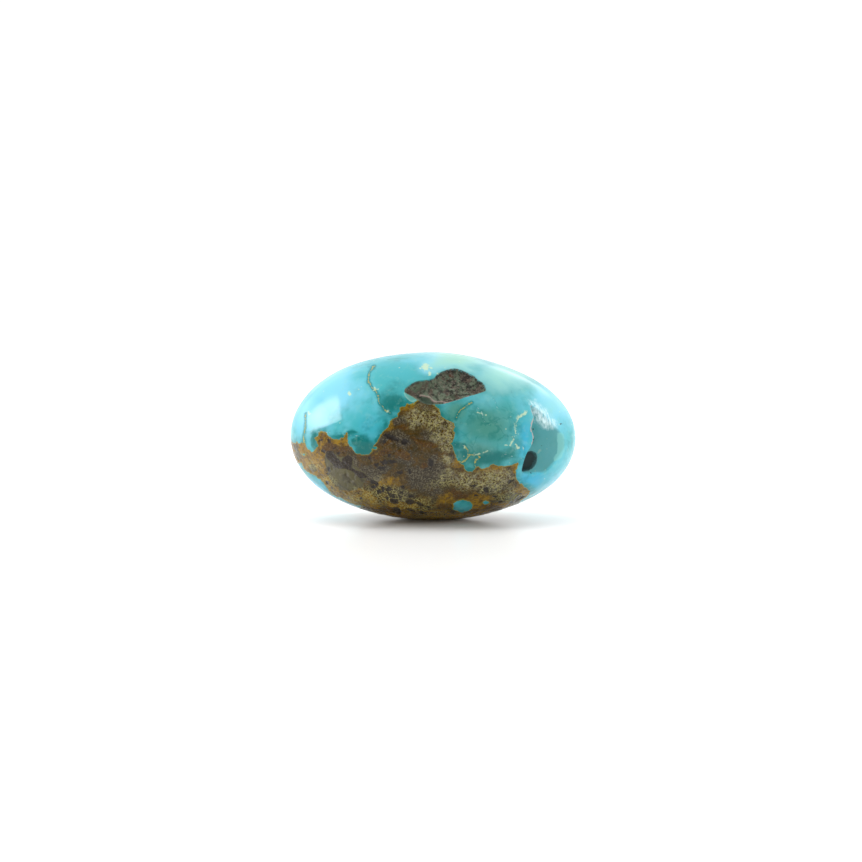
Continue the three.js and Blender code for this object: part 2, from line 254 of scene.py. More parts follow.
# Dark angular fragments in the matrix: x, z, half length, half width, tilt in degrees.
FLECKS = {FRONT: [
    (-6.5, -1.5, 0.2, 0.2, 40), (-5.8, -2.15, 0.27, 0.17, 0), (-5.05, -1.9, 0.4, 0.22, 15),
    (-5.25, -2.45, 0.47, 0.13, 10), (-4.15, -1.8, 0.4, 0.2, 0), (-4.55, -1.15, 0.17, 0.15, 0),
    (-3.4, -2.95, 0.3, 0.14, 5), (-2.35, -2.85, 0.14, 0.24, 0), (-4.25, 0.7, 0.74, 0.27, -15),
    (-2.9, 0.3, 0.4, 0.27, 0), (-5, 0.25, 0.14, 0.18, 60), (-6.15, -4.65, 0.3, 0.2, 0),
    (-5.6, -5.1, 0.27, 0.24, 30), (-5.2, -4.85, 0.2, 0.34, 30), (-4.6, -4.85, 0.27, 0.27, 0),
    (-4.35, -5.45, 0.47, 0.24, -35), (-4.05, -6.2, 0.44, 0.34, -10), (-4.75, -5.9, 0.2, 0.14, 0),
    (-3.15, -4.5, 0.17, 0.2, 0), (-3.3, -5.15, 0.2, 0.17, 0), (-2.4, -6.2, 0.4, 0.37, 0),
    (-2.3, -5.55, 0.3, 0.14, 15), (-3.5, -5.55, 0.1, 0.27, 20), (-1.35, -6.45, 0.54, 0.12, -20),
    (-0.5, -6.8, 0.34, 0.1, -15), (-3.8, -7.4, 0.54, 0.4, -45), (-2.35, -7.25, 0.4, 0.17, -25),
    (-1.15, -7.5, 0.47, 0.14, -5), (-0.2, -1.9, 0.2, 0.47, 10), (-6.05, -4.1, 0.54, 0.2, -35),
    (5.5, -4.95, 0.33, 0.27, 0), (4.45, -5.5, 0.2, 0.15, 0), (4.25, -4.4, 0.3, 0.12, 10),
    (8, -4.1, 0.35, 0.2, 30), (7, -6.4, 0.25, 0.12, 10), (6.45, -5.8, 0.2, 0.15, 0),
    (8.6, -4.65, 0.12, 0.2, 0), (9.2, -5.6, 0.15, 0.08, 0), (8.15, -6.65, 0.2, 0.1, 0),
    (-11.75, 0.1, 0.3, 0.1, 15), (-10.8, 0.1, 0.2, 0.25, -20), (-12.5, -0.7, 0.12, 0.3, 0),
    (-10.2, -0.6, 0.18, 0.1, 0), (-9.7, -1.15, 0.15, 0.15, 0), (-11.4, -1, 0.3, 0.2, -45),
    (-11, -4.5, 0.17, 0.24, 20), (-10.55, -5.05, 0.1, 0.2, 35), (-7.5, -6, 0.12, 0.12, 0),
    (-7.6, -5.4, 0.2, 0.08, 0), (-10.85, -2.95, 0.15, 0.3, 0), (-11, -3.4, 0.2, 0.12, 0),
], BACK: [
    (-5.9, -6.2, 0.5, 0.3, 20), (-4.7, -6.9, 0.4, 0.3, -30), (-3.9, -5.6, 0.3, 0.2, 10),
    (2.2, -5.9, 0.5, 0.25, -15), (3.3, -6.6, 0.3, 0.2, 30), (5.9, -6.7, 0.4, 0.2, 0),
    (1.4, -7.4, 0.5, 0.3, 40), (-1.4, -3.3, 0.2, 0.35, 10), (-12.3, -0.4, 0.2, 0.3, 20),
    (-6.8, -7.2, 0.3, 0.3, 0), (7.4, -6.4, 0.25, 0.15, 20), (-13.4, -1.9, 0.15, 0.3, 0),
]}

# Soft patches of tone, by name: x, z, half length, half height, strength.
TONES = {
    "pale": {FRONT: [
        (-10.6, 5.4, 3.4, 2.6, 0.9), (-12.8, 2.6, 2.2, 3, 0.8), (-8.2, 5.4, 1.6, 1.6, 0.5),
        (1.8, 8.3, 3.4, 1.2, 0.9), (7.4, 6.8, 3.6, 1.6, 0.6), (5.2, 4.8, 2.4, 0.9, 0.3),
        (12.6, 3.4, 2.6, 2.8, 0.7), (13.2, -3, 1.8, 2.4, 0.3), (-0.4, 7.6, 1.6, 0.7, 0.6),
    ], BACK: [
        (-7, 6, 4.2, 2.2, 0.8), (6.4, 6, 3.6, 2.2, 0.8), (12, 1.6, 2.4, 3.4, 0.6),
        (0.4, 3.4, 2.6, 1.6, 0.5), (-12, 3, 2.2, 2.4, 0.6), (8.8, -3.8, 2.6, 1.3, 0.5),
    ]},
    "green": {FRONT: [
        (5.6, 2, 3.2, 2.6, 0.95), (4.8, -0.9, 2.6, 1.6, 0.9), (2.2, 3.2, 1.8, 1.6, 1),
        (7.6, -1, 1.8, 1.4, 0.6), (-3.6, 4.8, 1.2, 1.2, 0.3), (7.4, 6.6, 4.2, 2, 0.9),
        (2.6, 8.2, 3.2, 1.4, 1), (-12.6, 0.6, 1.4, 0.8, 0.4), (12.6, 3.6, 1.6, 1.6, 0.4),
    ], BACK: [
        (2.8, 0.2, 3.2, 2.2, 0.9), (-6.2, 1, 3.2, 2.4, 0.8), (-3.6, -3.2, 3.6, 1.3, 0.8),
        (7.2, 1.8, 2, 1.6, 0.6), (-11.2, 0.4, 1.6, 1.6, 0.8),
    ]},
    "deep": {FRONT: [
        (-7.1, -0.4, 1.3, 1, 1), (-12.35, 0.2, 0.3, 0.8, 0.9), (-9.6, 0.6, 1.6, 0.35, 0.6),
        (3.1, -0.9, 0.6, 0.6, 0.8), (2.5, 0.2, 0.5, 0.4, 0.7), (-4.1, 4.3, 1.2, 1.4, 0.8),
        (-8.4, 0.95, 1, 0.35, 0.8), (-2.8, 4.6, 1, 0.9, 0.6), (6.4, -1.6, 1.8, 0.5, 0.4),
        (-5, 2.2, 0.5, 1.2, 0.6), (-3.3, 5.9, 1.3, 0.6, 0.35), (2.4, 2.9, 0.5, 1, 0.3),
        (5.8, -1.3, 2.8, 0.9, 0.9), (4.9, 2.6, 0.8, 1, 0.35), (8, 1.6, 0.5, 1.4, 0.4),
    ], BACK: [
        (-1.9, -2.6, 0.8, 1.2, 0.8), (-5, -3.9, 1.6, 0.6, 0.7), (2.8, -3.5, 1.6, 0.6, 0.6),
        (6.6, -4.6, 1.6, 0.5, 0.6), (-11.4, -2.9, 0.9, 0.5, 0.7), (-1.4, 0.9, 0.6, 0.9, 0.5),
        (4.6, 3, 0.9, 0.6, 0.4),
    ]},
    "blue": {FRONT: [
        (9.5, 0.2, 0.8, 2.6, 0.8), (10, -4, 1.6, 1, 1), (-3.8, 7.2, 2.4, 1.2, 0.8),
        (-6.4, 1.8, 1.4, 2.2, 0.35), (12.2, -1.8, 1.2, 1.8, 0.3), (-12.5, -5.5, 2.6, 1.6, 0.8),
        (13, -5, 2, 1.8, 0.6),
    ], BACK: [
        (-9, 3.8, 2.6, 2.2, 0.6), (3.6, 4.6, 2.6, 1.6, 0.7), (9.6, -0.8, 2.2, 2, 0.7),
        (-9.2, -3.6, 2, 1.2, 0.6),
    ]},
    "ochre": {FRONT: [
        (-13.4, -1.9, 1.3, 1.6, 0.9), (-11.6, 0.1, 1.2, 1, 0.7), (-12.2, -2, 1.2, 1.8, 1),
        (-9.4, -5.7, 1.8, 0.5, 0.9), (-11.6, -4.2, 0.9, 1, 0.9), (-10.9, -5, 0.7, 0.9, 0.8),
        (-9.3, 0.1, 1.4, 0.6, 0.8), (-7.6, -5.9, 1.6, 0.8, 0.9), (-6.6, -6.6, 1.2, 0.6, 0.5),
        (-2.6, 3.8, 1, 0.5, 0.4), (-5.2, -4, 1.2, 0.7, 0.4), (9.4, -5.3, 0.8, 0.6, 0.7),
        (8.4, -2.8, 0.4, 0.6, 0.7), (4.6, -6.2, 1.6, 0.9, 0.6), (6, -2.6, 1.4, 0.4, 0.6),
        (-4, -3.9, 1, 0.6, 0.4), (2.6, -1.9, 0.6, 0.7, 0.6), (-3.5, -6.6, 1.8, 0.9, 0.5),
        # (0, -8.2, 7, ...) runs along the underside. Its golden brown is partly the rock's own colour and
        # partly painted light that makes the underside lighter.
        (7.6, -6.9, 1.6, 0.5, 0.6), (0, -8.2, 7, 0.9, 0.6), (2, -6, 1.8, 0.8, 0.4),
        (-4.6, 1.9, 0.7, 0.7, 0.5), (-5.6, -1, 0.8, 0.5, 0.5),
    ], BACK: [
        (-12.4, -1.4, 1.4, 1.2, 0.9), (-6.6, -6, 1.4, 0.9, 0.8), (-1.4, -3.4, 0.8, 1, 0.8),
        # (0, -8.6, 5, ...) does the same on the back half of the underside: partly the rock's golden brown,
        # partly painted light.
        (5.6, -6.2, 2, 0.7, 0.8), (1.2, -4.9, 1.4, 0.7, 0.7), (0, -8.6, 5, 0.8, 0.3),
    ]},
    "rust": {FRONT: [
        (-4.9, -0.9, 1, 0.4, 1), (-6, -1.2, 0.8, 0.3, 0.9), (-4.7, 0.2, 0.9, 0.2, 0.7),
        (-9.4, -0.9, 0.9, 0.35, 0.9), (-2.9, -1.2, 0.9, 0.5, 0.8), (-0.9, 0.2, 1.3, 0.35, 0.8),
        (-3, 1.5, 0.7, 0.3, 0.7), (-10.7, -0.5, 0.7, 0.4, 0.8), (-0.9, -1.9, 0.4, 0.4, 0.6),
        (2.7, -5.3, 0.9, 0.4, 0.7), (1, -6.6, 1.3, 0.3, 0.5), (-4.6, -7.2, 0.7, 0.35, 0.6),
        (-0.5, -7.7, 3, 0.3, 0.6), (-7.6, -5.5, 0.5, 0.2, 0.5), (1.1, -0.6, 0.7, 0.8, 0.5),
        (7.4, -3.4, 0.4, 0.4, 0.5),
    ], BACK: [
        (-12.9, -0.6, 0.6, 0.4, 0.8), (-5.2, -6.6, 1.2, 0.4, 0.7), (3.9, -6.2, 1, 0.4, 0.7),
        (-0.8, -2.8, 0.5, 0.5, 0.7), (1.8, -5, 0.9, 0.3, 0.6),
    ]},
    "grey": {FRONT: [
        (-4.3, 0.6, 1.5, 0.6, 1), (-2.9, 0.2, 0.9, 0.5, 0.9), (-3.9, 2.5, 1.2, 0.7, 0.9),
        (-0.4, 1, 0.8, 0.5, 0.8), (-2.7, -1.4, 0.9, 1, 0.8), (-6.6, -3.1, 1.5, 0.8, 0.9),
        (-0.4, -3.4, 2.4, 1.6, 0.9), (2.2, -1.3, 0.7, 0.7, 0.7), (-0.2, -1.6, 0.6, 1, 0.7),
        (6.2, -4.6, 1.7, 0.8, 0.6), (8, -3.5, 0.8, 0.6, 0.6), (-5.2, -2.6, 1, 0.4, 0.8),
        (-8.6, -2.2, 1, 0.7, 0.8), (-3.2, -5.6, 1.3, 1, 0.7), (0.4, -5.4, 1.6, 0.8, 0.5),
    ], BACK: [
        (-5.2, -6.4, 1.2, 0.6, 0.9), (1.6, -6.4, 1.8, 0.8, 0.9), (-12.6, -1.8, 0.8, 0.6, 0.7),
        (6.2, -6.6, 1.2, 0.5, 0.7),
    ]},
    "web": {FRONT: [
        (-5.2, -5.4, 2.6, 1.1, 1), (-1.9, -6.6, 2.6, 0.9, 0.9), (-8.2, -6, 1.8, 0.6, 0.7),
        (-10.9, -4.9, 0.9, 1, 0.9), (1.4, -4.2, 2.2, 0.8, 0.6), (-12.4, -2.6, 1.2, 0.8, 0.6),
        # (0, -7.9, 5, ...) lays cream web along the underside as painted light, to make it lighter.
        (7.4, -5.9, 1.6, 0.7, 0.6), (0, -7.9, 5, 0.7, 0.5),
    ], BACK: [
        (-5.6, -6.8, 2, 0.8, 0.9), (2.8, -6.6, 2.4, 0.8, 0.8),
    ]},
    "speckle": {FRONT: [
        (0.9, 2, 1.5, 1.7, 1), (1.2, 0.2, 0.9, 0.9, 0.9), (6, -4, 2.2, 1.3, 1), (3.4, -3.9, 1.4, 1, 0.8),
        (-1.6, 2.6, 1.4, 1.2, 0.8), (1.4, -1.6, 1.2, 0.9, 0.6), (1.8, -3.4, 1.2, 1, 0.5),
        (-5.6, -3.4, 1.4, 0.8, 0.4), (8.4, -5.4, 1, 0.8, 0.5),
    ], BACK: [
        (-0.2, -4.6, 1.2, 1, 0.7), (3.4, -5.9, 1.6, 0.7, 0.8), (-6.4, -6.6, 1.3, 0.7, 0.7),
        (6.8, -6.4, 1.2, 0.6, 0.6),
    ]},
}

# Pinholes in the turquoise: x, z, radius.
PINHOLES = {FRONT: [
    (10.65, 1.35, 0.12), (10.5, 0.2, 0.2), (10.4, -0.1, 0.16), (11.45, -0.55, 0.13), (13.3, 1.6, 0.11),
    (13.5, -0.55, 0.06), (11.3, 1.45, 0.07), (11.95, 1.4, 0.06), (10.75, 0.6, 0.09), (10.2, -3.35, 0.06),
], BACK: [
    (-7.4, 4.1, 0.1), (4.1, -0.6, 0.09), (4.5, -0.9, 0.06), (9.1, 2.4, 0.1), (-11.4, 2.2, 0.08),
]}

# Fineness: the sphere that the stone starts from, and how far past a marking two rounds divide its faces.
SPHERE_LEVELS = 7
MARK_MARGINS = (0.15, 0.08)
ROCK_MARGIN = 0.3
BACK_ROCK_EDGE = 0.12  # on the back only the matrix's edge is finer, and by this much to each side
RIM_REACH = 0.028  # a point this near to a hollow's rim is moved onto it
POINTS_PER_CORNER = 4
SIDE_BLEND = 1.2  # the two sides' markings run into each other this near to the middle
FAR = 3.0  # depths are not told apart further than this outside a marking
SHALLOW = 1e-6  # a direction less steep than this never meets the board

# Noise in the shapes: lump size in mm, octaves and seed. The two wanders add how far they shift a place.
EDGE_WANDER = (0.7, 4, (3.1, 7.7), 0.11)
TONE_WANDER = (2.4, 4, (1.3, 5.9), 0.6)
BREAK_LUMPS = (0.7, 5, 11)
ROCK_GRAIN = (0.5, 4, 17)
ROCK_PORES = (0.35, 2, 29)
BODY_ROLL = (2.6, 2, 23)
ROLL_HEIGHT = 0.012

# Wear: the depths in mm between which each marking's wear comes in, and its share of the relief.
ROCK_EDGE = (-0.05, 0.25)
ROCK_SHARES = (0.7, 0.8, 1.2)  # of the whole matrix, of its grain and of its pores
PORE_EDGE = (0.25, 0.6)
FLECK_EDGE = (0, 0.15)
VEIN_EDGE, VEIN_SHARE = (0, 0.05), 0.3
PINHOLE_EDGE, PINHOLE_SHARE = (0, 0.08), 2.5
LIP_EDGE, LIP_HEIGHT = (-0.15, 0.1), 0.16

# Patterns in the material, in mm: a network is its cells' size, the size and strength of its bends, and the
# widths between which its lines fade in.
CRACK_NETWORK = (1.9, 1.2, 2.0, 0.07, 0.0)
GRAIN_NETWORK = (0.34, 0.35, 0.6, 0.11, 0.02)
SPECK_SPACING = 1.25
SPECK_EDGE = (0.09, 0.03)
SCUFF_TILT, SCUFF_STRETCH = -52, 0.16  # the scuffs' streaks: their tilt in degrees, and how drawn out
GRIT_SIZE, GRIT_DEPTH = 0.14, 0.1
ROCK_GRIT = 0.35  # how gritty the matrix is, where the broken stone is 1
FINE_DETAIL, FINE_ROUGHNESS = 5.0, 0.65  # of the noise in ragged edges
CLOUD_ROUGHNESS = 0.6

# Settings that several nodes share.
SMOOTH = {"interpolation_type": "SMOOTHSTEP"}
TIMES = {"operation": "MULTIPLY"}

# The camera, the board and the room, in mm.
CAMERA_AIM = (-0.21, 0, 9.25)
SENSOR_WIDTH = 36
NEAREST_SEEN = 10
BOARD_ROUGHNESS = 0.2
ROOM_EDGE = (-0.9, 0.2)  # from the camera's side to the far one, the room brightens between these

# The softboxes: place and what it faces in mm, width and height in mm, turn of the face in degrees, how
# bright the face is, shares of it that fade at the two ends of its width and the two of its height, and
# whether the polish mirrors it or only takes its light, as with a crossed filter.
SOFTBOXES = {
    "overhead softbox": ((345, 470, 430), (345, 470, 0), (500, 1000), 0, 1.9, (0.3, 0.4, 0.92, 0.07), True),
    "left softbox": ((-389, 53, 206), (0, 0, 9), (240, 174), 67, 8.8, (0.75, 0.02, 0.03, 0.5), True),
    "left sky": ((-400, 230, 200), (0, 0, 9), (420, 360), 0, 1.8, (0.5, 0.5, 0.5, 0.5), True),
    "top light": ((-120, 60, 500), (-120, 60, 0), (600, 500), 0, 4.2, (0.4, 0.4, 0.4, 0.4), False),
    "left reflector": ((-420, 60, 90), (0, 0, 9), (300, 160), 0, 8.0, (0.5, 0.5, 0.5, 0.5), False),
    "right reflector": ((420, 60, 90), (0, 0, 9), (300, 160), 0, 30.0, (0.5, 0.5, 0.5, 0.5), False),
    "rear reflector": ((0, 430, 170), (0, 0, 9), (700, 320), 0, 4.0, (0.5, 0.5, 0.5, 0.5), False),
    "front reflector": ((0, -430, 40), (0, 0, 9), (600, 80), 0, 11.0, (0.5, 0.5, 0.5, 0.5), False),
}


def srgb(code):
    """A hex colour as the linear RGBA that Blender's sockets take."""
    levels = [int(code[i:i + 2], 16) / 255 for i in (0, 2, 4)]
    return tuple(v / 12.92 if v <= 0.04045 else ((v + 0.055) / 1.055) ** 2.4 for v in levels) + (1.0,)


def colour(name, code, words):
    """A colour setting whose default is a hex code."""
    return FloatVectorProperty(
        name=name, description=words, subtype="COLOR", size=4, min=0, max=1, default=srgb(code))


def share(name, default, words, least=0):
    """A setting from least to 1."""
    return FloatProperty(name=name, description=words, subtype="FACTOR", default=default, min=least, max=1)


def toward(turn, lift):
    """The unit vector at turn degrees from +X towards +Y and lift degrees above level."""
    azimuth, rise = math.radians(turn), math.radians(lift)
    return np.array([
        math.cos(rise) * math.cos(azimuth), math.cos(rise) * math.sin(azimuth), math.sin(rise)])


def body_points(directions):
    """The tumbled body's points in directions from its centre, with no hollows, in mm."""
    size = np.array([LENGTH, DEPTH, HEIGHT])
    radius = 0.5 / np.linalg.norm(directions / size, axis=1)
    for _, turn, lift, rise, spread in SWELLS:
        facing = directions @ toward(turn, lift)
        radius += rise * np.exp((facing - 1) / (1 - math.cos(math.radians(spread))))
    for _, turn, lift, cut in WORN_FACES:
        normal = toward(turn, lift)
        facing = directions @ normal
        reach = np.linalg.norm(normal * size) / 2 - cut
        plane = reach / np.maximum(facing, WORN_SPAN)
        near = np.maximum(WORN_EDGE - abs(radius - plane), 0) / WORN_EDGE
        worn = np.minimum(radius, plane) - near * near * WORN_EDGE / 4
        radius = np.where(facing > WORN_SPAN, worn, radius)
    return directions * radius[:, None]


def smooth_line(corners, closed):
    """Corners joined by one smooth curve that passes through them all."""
    corners = [np.array(c, float) for c in corners]
    count = len(corners)
    points = []
    for i in range(count if closed else count - 1):
        if closed:
            before, a, b, after = (corners[(i + k) % count] for k in (-1, 0, 1, 2))
        else:
            before, a, b, after = (corners[min(max(i + k, 0), count - 1)] for k in (-1, 0, 1, 2))
        for step in range(POINTS_PER_CORNER):
            t = step / POINTS_PER_CORNER
            points.append(0.5 * (
                2 * a + (b - before) * t + (2 * before - 5 * a + 4 * b - after) * t ** 2
                + (3 * a - before - 3 * b + after) * t ** 3))
    points.append(points[0] if closed else corners[-1])
    return points


def to_line(places, line):
    """How far each place is from a line, up to FAR, and the nearest place on it."""
    corners = np.array(line)
    near = ((places > corners.min(0) - FAR) & (places < corners.max(0) + FAR)).all(axis=1)
    x, z = places[near].T
    best = np.full(len(x), FAR ** 2)
    foot = np.stack([x, z])
    for (ax, az), (bx, bz) in zip(line, line[1:]):
        dx, dz = bx - ax, bz - az
        along = np.clip(((x - ax) * dx + (z - az) * dz) / (dx * dx + dz * dz), 0, 1)
        on_x, on_z = ax + along * dx, az + along * dz
        away = (x - on_x) ** 2 + (z - on_z) ** 2
        closer = away < best
        best = np.where(closer, away, best)
        foot = np.where(closer, (on_x, on_z), foot)
    distance = np.full(len(places), FAR)
    distance[near] = np.sqrt(best)
    nearest = places.copy()
    nearest[near] = foot.T
    return distance, nearest


def in_loop(places, loop):
    """How far inside a closed line each place is, negative outside it, and the nearest place on it."""
    distance, nearest = to_line(places, loop)
    inside_it = np.zeros(len(places), bool)
    for (ax, az), (bx, bz) in zip(loop, loop[1:]):
        if az == bz:
            continue
        crosses = (places[:, 1] < az) != (places[:, 1] < bz)
        inside_it ^= crosses & (places[:, 0] < ax + (places[:, 1] - az) / (bz - az) * (bx - ax))
    return np.where(inside_it, distance, -distance), nearest


def smoothstep(low, high, value):
    """From 0 to 1, gently, as the value goes from low to high."""
    t = np.clip((value - low) / (high - low), 0, 1)
    return t * t * (3 - 2 * t)


def lumps(points, size, octaves, seed):
    """Fractal noise of about -1 to 1 at each point, with its largest lumps about size mm across."""
    shifted = points / size + (seed, 2 * seed, -seed)
    return np.array([noise.fractal(p, 1.0, 2.0, octaves) for p in shifted.tolist()])


class Places:
    """The stone's points, and how deep they lie inside its markings."""

    def __init__(self, points):
        self.points = points
        self.flat = points[:, (0, 2)]
        self.back = smoothstep(-SIDE_BLEND, SIDE_BLEND, points[:, 1])

    def wandering(self, size, octaves, seeds, shift):
        """The places, each moved about by noise."""
        return self.flat + shift * np.stack([lumps(self.points, size, octaves, s) for s in seeds], axis=1)

    @cached_property
    def ragged(self):
        """Places that wander a little, so that drawn outlines come out natural."""
        return self.wandering(*EDGE_WANDER)

    @cached_property
    def cloudy(self):
        """Places that wander widely, for soft patches of tone."""
        return self.wandering(*TONE_WANDER)

    def both_sides(self, measure, marks, none=-FAR):
        """The most of a measure over the front's marks and over the back's, blended at the middle."""
        sides = []
        for side in (FRONT, BACK):
            found = [measure(mark) for mark in marks[side]]
            sides.append(np.max(found, axis=0) if found else np.full(len(self.points), none))
        return sides[0] * (1 - self.back) + sides[1] * self.back

    def loops(self, marks):
        """Depth inside outlines with straight sides, which the wander makes ragged."""
        return self.both_sides(lambda loop: in_loop(self.ragged, [*loop, loop[0]])[0], marks)

    def front_loop(self, outline):
        """Depth inside one smooth outline on the front."""
        depth = in_loop(self.ragged, smooth_line(outline, True))[0]
        return np.where(self.points[:, 1] < 0, depth, -FAR)

    def spots(self, marks):
        """Depth inside round or oval spots, in mm."""
        def depth(mark):
            x, z, long, *rest = mark
            wide = rest[0] if rest else long
            tilt = math.radians(rest[1]) if len(rest) > 1 else 0
            away = self.ragged - (x, z)
            u = away[:, 0] * math.cos(tilt) + away[:, 1] * math.sin(tilt)
            w = away[:, 1] * math.cos(tilt) - away[:, 0] * math.sin(tilt)
            return np.maximum((1 - np.hypot(u / long, w / wide)) * min(long, wide), -FAR)
        return self.both_sides(depth, marks)

    def veins(self, marks):
        """Depth inside lines of a given half width."""
        def depth(mark):
            width, line = mark
            return width - to_line(self.ragged, smooth_line(line, False))[0]
        return self.both_sides(depth, marks)

    def tones(self, marks):
        """Strength of soft oval patches, from 0 to 1."""
        def strength(mark):
            x, z, long, high, amount = mark
            away = (self.cloudy - (x, z)) / (long, high)
            return amount * np.exp(-(away ** 2).sum(axis=1))
        return self.both_sides(strength, marks, none=0.0)

    def hollow(self, name):
        """Depth inside one hollow's outline, and the nearest place on it."""
        side, _, _, _, outline = HOLLOWS[name]
        depth, nearest = in_loop(self.flat, smooth_line(outline, True))
        return np.where(self.points[:, 1] * side > 0, depth, -FAR), nearest


def fine_sphere():
    """A unit sphere in a bmesh, divided once more in the fine markings and twice at their edges."""
    bm = bmesh.new()
    bmesh.ops.create_icosphere(bm, subdivisions=SPHERE_LEVELS, radius=1)
    for finer, margin in enumerate(MARK_MARGINS):
        places = Places(body_points(np.array([v.co[:] for v in bm.verts])))
        marks = np.max([places.veins(VEINS), places.veins(THREADS), places.spots(CREAM)], axis=0)
        for name in HOLLOWS:
            depth = places.hollow(name)[0]
            only_rim = finer or name == "end ledge"
            marks = np.maximum(marks, -abs(depth) if only_rim else depth)
        fine = marks > -margin
        if not finer:
            rock = places.loops(ROCK)
            in_front = places.points[:, 1] < 0
            fine |= np.where(in_front, rock > -ROCK_MARGIN, abs(rock) < BACK_ROCK_EDGE)
        edges = [e for e in bm.edges if fine[e.verts[0].index] or fine[e.verts[1].index]]
        bmesh.ops.subdivide_edges(bm, edges=edges, cuts=1, use_grid_fill=True)
        bmesh.ops.triangulate(bm, faces=[f for f in bm.faces if len(f.verts) > 3])
        for vert in bm.verts:
            vert.co.normalize()
        bm.verts.index_update()
    return bm


def onto_rims(directions):
    """Moves directions that pass close by a hollow's rim onto it, so that the rim is a clean line."""
    points = body_points(directions)
    places = Places(points)
    for name in HOLLOWS:
        depth, nearest = places.hollow(name)
        close = abs(depth) < RIM_REACH
        points[close, 0], points[close, 2] = nearest[close].T
    return points / np.linalg.norm(points, axis=1)[:, None]


def hollow_cut(places, name):
    """How deep a hollow is at each point: steep at the rim, then levelling out on a gritty floor."""
    _, floor, wall, grit, _ = HOLLOWS[name]
    depth = places.hollow(name)[0]
    cut = np.zeros(len(depth))
    within = depth > 0
    points = places.points[within]
    depth = depth[within]
    rough = lumps(points, *BREAK_LUMPS)
    if name == "end ledge":
        from_rim = to_line(places.flat[within], LEDGE_RIM)[0]
        wall = wall + (GENTLE_WALL - wall) * smoothstep(*LEDGE_TURN, from_rim)
        floor = floor * (1 - smoothstep(*LEDGE_FADE, points[:, 0]))
    if name == "brow chip":
        rough *= BREAK_CALM + smoothstep(SMOOTH_BREAK, ROUGH_BREAK, points[:, 0])
    drop = np.sqrt(1 - (1 - np.clip(depth / wall, 0, 1)) ** 2)
    cut[within] = drop * (floor + grit * rough)
    return cut


def stone_surface(directions, relief):
    """The stone's finished points in mm from its centre, and the fields that its material reads."""
    points = body_points(directions)
    places = Places(points)
    fields = {name: np.clip(places.tones(marks), 0, 1) for name, marks in TONES.items()}
    fields |= {
        "rock": np.minimum(places.loops(ROCK), -places.spots(ISLANDS)),
        "vein": places.veins(VEINS),
        "hairline": places.veins(HAIRLINES),
        "pane": places.loops(PANES),
        "window": places.spots(WINDOWS),
        "cream": np.maximum(places.spots(CREAM), places.veins(THREADS)),
        "clast": places.loops(CLASTS),
        "band": places.front_loop(DARK_BAND),
        "fleck": places.spots(FLECKS),
        "pinhole": places.spots(PINHOLES),
        "chip": np.max([places.hollow(name)[0] for name in ROUGH_HOLLOWS], axis=0),
        "scoop": places.hollow("break scoop")[0],
        "scallop": places.hollow("scallop")[0],
        "lip": places.veins(BREAK_LIP),
        "ledge": places.hollow("end ledge")[0],
        "ledge_rim": places.veins(RIM_LINE),
        "ledge_band": places.front_loop(LEDGE_REFLECTION_BAND),
        "scuff": places.front_loop(SCUFFS),
        "pit": places.hollow("tear pit")[0],
    }
    whole, grainy, porous = ROCK_SHARES
    in_rock = smoothstep(*ROCK_EDGE, fields["rock"])
    grain = lumps(points, *ROCK_GRAIN)
    pores = smoothstep(*PORE_EDGE, lumps(points, *ROCK_PORES))
    cut = sum(hollow_cut(places, name) for name in HOLLOWS)
    cut -= LIP_HEIGHT * smoothstep(*LIP_EDGE, fields["lip"])
    cut += relief * in_rock * (whole + grainy * grain + porous * pores)
    cut += relief * in_rock * smoothstep(*FLECK_EDGE, fields["fleck"])
    cut += VEIN_SHARE * relief * smoothstep(*VEIN_EDGE, fields["vein"])
    cut += PINHOLE_SHARE * relief * smoothstep(*PINHOLE_EDGE, fields["pinhole"])
    cut += ROLL_HEIGHT * lumps(points, *BODY_ROLL)
    radius = np.linalg.norm(points, axis=1) - cut
    down = -directions[:, 2]
    ground = np.where(down > 0, CENTRE[2] / np.maximum(down, SHALLOW), np.inf)
    return directions * np.minimum(radius, ground)[:, None], fields


def build_stone(settings):
    """The stone as one closed mesh, with a field in it for each of its markings."""
    bm = fine_sphere()
    mesh = bpy.data.meshes.new("turquoise_stone")
    bm.to_mesh(mesh)
    bm.free()
    directions = np.empty(len(mesh.vertices) * 3)
    mesh.vertices.foreach_get("co", directions)
    directions = onto_rims(directions.reshape(-1, 3))
    points, fields = stone_surface(directions, settings.relief / MM)
    mesh.vertices.foreach_set("co", ((points + CENTRE) * MM).ravel())
    for name, values in fields.items():
        mesh.attributes.new(name, "FLOAT", "POINT").data.foreach_set("value", values.astype(np.float32))
    mesh.polygons.foreach_set("use_smooth", [True] * len(mesh.polygons))
    mesh.update()
    stone = bpy.data.objects.new("turquoise_stone", mesh)
    bpy.context.scene.collection.objects.link(stone)
    return stone


def add(tree, kind, output, settings=None, **inputs):
    """Adds a node with its settings, fills or links its inputs (_ for a space) and gives an output."""
    node = tree.nodes.new("ShaderNode" + kind)
    for name, value in (settings or {}).items():
        setattr(node, name, value)
    for name, value in inputs.items():
        socket = next(s for s in node.inputs if name in (s.identifier, s.name.replace(" ", "_")))
        if isinstance(value, bpy.types.NodeSocket):
            tree.links.new(value, socket)
        else:
            socket.default_value = value
    return next(s for s in node.outputs if output in (s.identifier, s.name))


